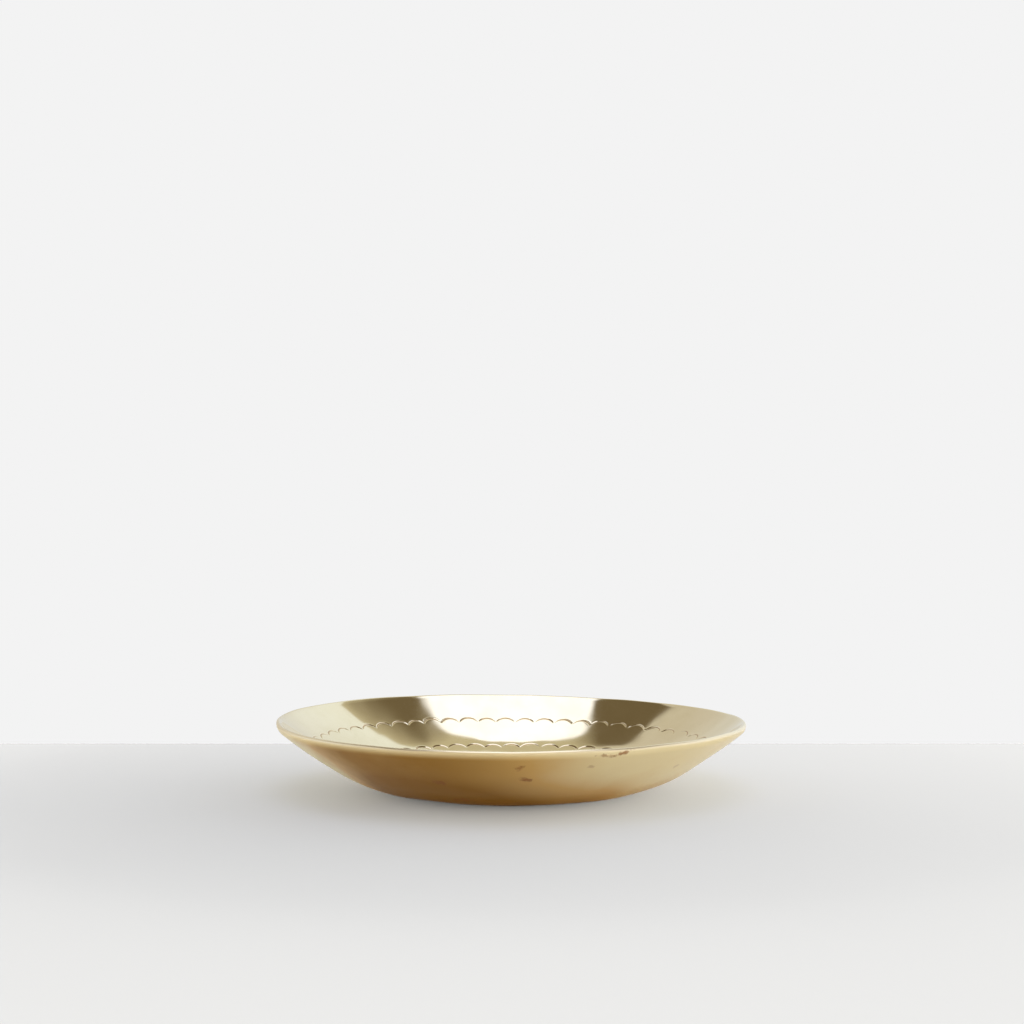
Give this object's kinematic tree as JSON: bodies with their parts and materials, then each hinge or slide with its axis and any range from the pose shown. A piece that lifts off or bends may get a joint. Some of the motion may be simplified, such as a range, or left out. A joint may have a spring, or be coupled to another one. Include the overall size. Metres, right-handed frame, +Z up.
{
  "type": "brass tray",
  "caption": "Shallow round hand-raised brass tray with a flat base, an open curved wall and a soft thickened lip, for holding or serving small things.",
  "frame": {"origin": "middle of the flat underside, on the surface that the tray stands on", "axes": "+Z up along the tray's axis of revolution; +X and +Y lie in the surface that the tray stands on"},
  "size_m": [0.25, 0.25, 0.0369],
  "materials": {
    "brass": "warm yellow brass, burnished bright inside, satin and lightly aged with small brown stains outside"
  },
  "bodies": {
    "root": {"tray_body": "brass"}
  },
  "joints": []
}
